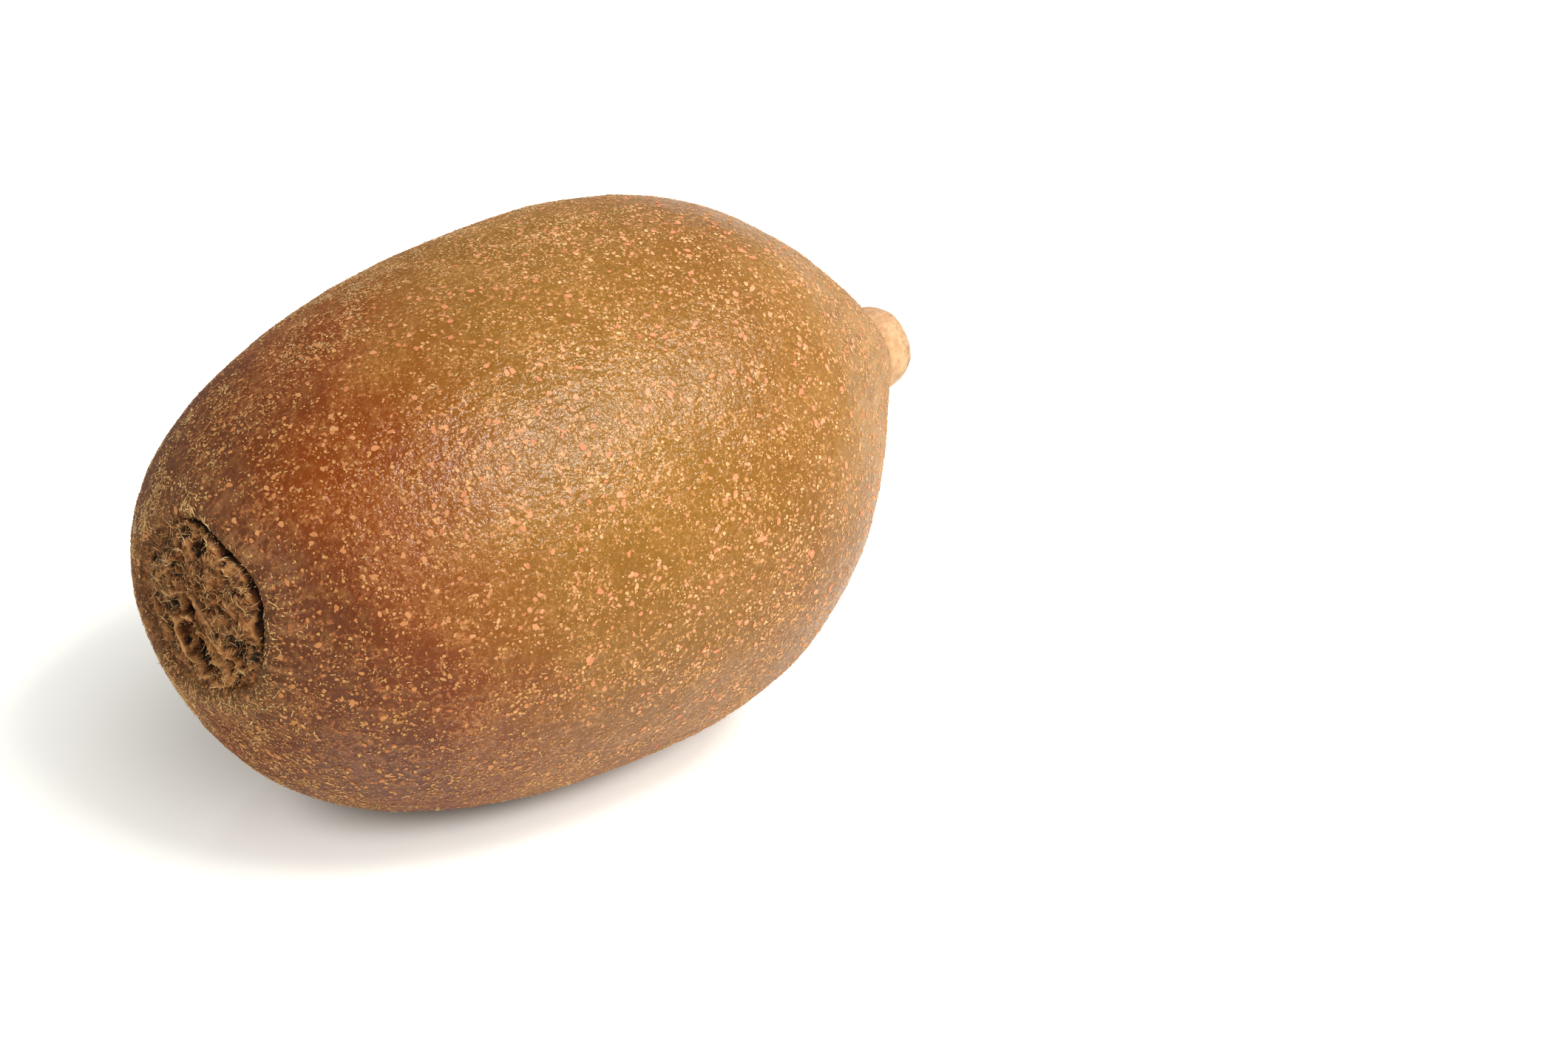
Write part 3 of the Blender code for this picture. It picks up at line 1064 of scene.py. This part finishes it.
def makePlug(move):
    reach = np.linspace(0, 1, plug["rings"] + 1)[1:] * plug["radius"]
    turn = np.linspace(0, 2 * math.pi, plug["columns"], endpoint=False)
    reach, angle = np.meshgrid(reach, turn, indexing="ij")
    share, across, *kind = plug["raggedness"]
    circle = np.stack([np.cos(angle) * across, np.sin(angle) * across, angle * 0 + 1.0], axis=-1)
    uneven = lumps(circle.reshape(-1, 3), *kind).reshape(angle.shape)
    out = reach * (1 + share * uneven * reach / plug["radius"]) * scarEdge(angle)
    y, z = out * np.cos(angle), out * np.sin(angle)
    height = plugHeight(y.ravel(), z.ravel(), reach.ravel(), angle.ravel()).reshape(y.shape)
    height = np.minimum(height, plug["highest"])
    y, z = y + fruitForm["scarCentre"][0], z + fruitForm["scarCentre"][1]
    base = stemEndAt(np.hypot(y, z))
    lifted = z / fruitForm["heightToWidth"]
    low = height[-1:] - plug["skirtDepth"]
    surface = np.concatenate([shaped(base, y, lifted, height), shaped(base[-1:], y[-1:], lifted[-1:], low)])
    grid = keepInBox(laidDown(surface) + move, skinGrid["margin"])
    points, faces = closedRings(grid, (plug["skirtDepth"], 0, 0))
    # depth and crest carry the wood's painted shade in its low places and painted light on its ridges
    depth = np.concatenate([height.ravel(), low.ravel(), [height[0].mean(), woodMarks["under"]]])
    depth = (depth - woodMarks["lowest"]) / woodMarks["range"]
    crest = standing(height, 2, 3)
    crest = 0.5 + np.concatenate([crest.ravel(), crest[-1], [0, 0]]) * woodMarks["crest"]
    marks = {"depth": np.clip(depth, 0, 1), "crest": np.clip(crest, 0, 1)}
    addPiece(makePiece("stemScar", points, faces, woodMaterial(), marks))
    return grid[:-1]


# The x at which the turned body has a given radius near the stem end
def stemEndAt(radius):
    half = fruitForm["widestAt"] / 2
    x = np.linspace(0, half, skinGrid["samples"]) ** 2 / half
    return np.interp(radius, fruitRadius(x), x)


# Where flecks and hairs grow: all over the skin but the scar and the beak's cap, in patches
growth = {
    "scarEnd": 10,  # up to which x of the turned body the scar's outline counts
    "outside": (0.2, 0.6, 0.0),  # how far outside that outline: middle, swing, side
    "beak": (31, 33),
    "patches": [(1.2, 3.5, 61, 2), (1.1, 1.1, 62)],
    "patchLimits": (0.1, 3.0),
    "dots": 0.4,  # share that grows everywhere
    "salmon": (0.35, 2),  # how much rarer by hairiness, up to which hairiness
    "fuzz": {"shortFuzz": (1, 0.3, 1.4), "longFuzz": (2, 0.06, 1.9)},  # power of patches, least, by hair
}


def growingPlaces(grid, turned):
    cells = (grid[:-1] + grid[1:]) / 2
    x, reach, side = [turned[key][:-1] for key in ("x", "reach", "side")]
    middle, amount, widest = growth["outside"]
    edge = swing(side, fruitForm["scarRadius"] + middle, amount, widest)
    bare = 1.0 * ((x > growth["scarEnd"]) | (reach > edge)) * (1 - easeStep(cells[..., 0], *growth["beak"]))
    flat = cells.reshape(-1, 3)
    clumps = 1 + sum(raised(flat, *kind) for kind in growth["patches"])
    clumps = np.clip(clumps, *growth["patchLimits"]).reshape(x.shape)
    hair = hairiness(flat).reshape(x.shape)
    density = {"tanFlecks": bare * clumps, "paleDots": bare * (growth["dots"] + clumps)}
    fewer, mostHair = growth["salmon"]
    density["salmonFlecks"] = bare * (1 - fewer * np.minimum(hair, mostHair))
    for name, (power, least, more) in growth["fuzz"].items():
        density[name] = bare * clumps**power * (least + more * hair)
    return density


fibreRings = slice(20, -4)  # the rings of the wood that fibres grow on

grid, move, turned = makeSkin()
density = growingPlaces(grid, turned)
tanFleck, salmonFleck = [fleckMaterial(name) for name in fleckColours]
for name, finish in zip(flecks, (tanFleck, tanFleck, salmonFleck)):
    makeFlecks(name, grid, density[name], finish)
fuzzFinish = fuzzMaterial()
for name in growth["fuzz"]:
    makeFuzz(name, grid, density[name], fuzzFinish)
plugGrid = makePlug(move)
makeFuzz("scarFibres", plugGrid[fibreRings], 1.0, fuzzFinish)
print("pieces made")


# Floor, light and camera

# The floor glows a little, painted light that keeps it white, but not in the ellipse under the
# fruit, where its shadow is deepest, and less in a wide soft one towards the stem end; these two
# paint its shadow. The glow rises between two shares of their reach.
floorLook = {
    "halfSide": 1600,
    "colour": (0.78, 0.785, 0.71, 1),
    "roughness": 0.12,
    "glow": (0.56, 0.557, 0.549, 1),
    "under": {"middle": (-0.002, 0.0), "reach": (0.04, 0.02), "rise": (0.4, 0.63)},
    "wide": {"middle": (-0.014, 0.014), "reach": (0.05, 0.04), "rise": (0.0, 0.75)},
    "wideShare": (0.2, 0.8),  # what is left in the wide one's middle, and what it adds
}


def makeFloor():
    recipe = Recipe("whiteFloor")
    here = {0: recipe.here()}
    places = [recipe.node("ShaderNodeSeparateXYZ", None, here, out=axis) for axis in ("X", "Y")]
    masks = []
    for key in ("under", "wide"):
        values = floorLook[key]
        across, along = [
            ((place - middle) * (1 / reach)) ** 2
            for place, middle, reach in zip(places, values["middle"], values["reach"])
        ]
        masks.append(recipe.step((across + along) ** 0.5, *values["rise"]))
    least, more = floorLook["wideShare"]
    # Painted shadow: the glow is taken away under the fruit and lessened towards the stem end
    glow = recipe.blend(masks[0] * (least + masks[1] * more), (0, 0, 0, 1), floorLook["glow"])
    material = recipe.finish(
        Base_Color=floorLook["colour"],
        Roughness=floorLook["roughness"],
        Emission_Color=glow,
        Emission_Strength=1.0,
    )
    corners = np.array([[-1, -1, 0], [1, -1, 0], [1, 1, 0], [-1, 1, 0]]) * floorLook["halfSide"]
    floor = makePiece("floor", corners, [[[0, 1, 2, 3]]], material)


# The gleam lights nothing, it is only mirrored in the skin
lights = {
    "key": {"aim": (0.22, -0.5, 0.84), "away": 1.0, "size": (0.5, 0.26), "power": 10},
    "fill": {"aim": (-0.35, -0.8, 0.5), "away": 1.3, "size": (1.2, 0.7), "power": 4},
    "gleam": {"aim": (0.2, -0.52, 0.82), "away": 1.1, "size": (0.3, 0.2), "power": 9, "lit": False},
}
surroundings = {"colour": (1, 0.995, 0.985, 1), "strength": 0.5}
lightCentre = Vector((0, 0, 0.025))


def makeLights():
    for name, values in lights.items():
        data = bpy.data.lights.new(name, "AREA")
        data.shape = "RECTANGLE"
        data.size, data.size_y = values["size"]
        data.energy = values["power"]
        light = addObject(name, data)
        light.visible_diffuse = values.get("lit", True)
        aim = Vector(values["aim"]).normalized()
        light.location = lightCentre + aim * values["away"]
        light.rotation_euler = aim.to_track_quat("Z", "Y").to_euler()
    world = bpy.data.worlds.new("studio")
    world.use_nodes = True
    background = world.node_tree.nodes["Background"]
    background.inputs["Color"].default_value = surroundings["colour"]
    background.inputs["Strength"].default_value = surroundings["strength"]
    bpy.context.scene.world = world


# Angles in degrees; away, aside, rise and height in metres; lens and sensor in millimetres
view = {
    "lens": 185.47,
    "sensor": 36,
    "farthest": 20,
    "yaw": 38.23,
    "elevation": 30.96,
    "away": 0.68158,
    "aside": -0.020638,
    "rise": 0.002409,
    "height": 0.022863,
}


def makeCamera():
    yaw, tip = math.radians(view["yaw"]), math.radians(view["elevation"])
    ahead = Vector((math.sin(yaw) * math.cos(tip), math.cos(yaw) * math.cos(tip), -math.sin(tip)))
    right = Vector((math.cos(yaw), -math.sin(yaw), 0))
    up = right.cross(ahead)
    data = bpy.data.cameras.new("camera")
    data.lens = view["lens"]
    data.sensor_width = view["sensor"]
    data.clip_end = view["farthest"]
    camera = addObject("camera", data)
    spot = Vector((0, 0, view["height"])) - ahead * view["away"]
    spot -= right * view["aside"] + up * view["rise"]
    camera.matrix_world = Matrix.Translation(spot) @ Matrix((right, up, -ahead)).transposed().to_4x4()
    bpy.context.scene.camera = camera


makeFloor()
makeLights()
makeCamera()
bpy.context.scene.view_settings.view_transform = "Standard"
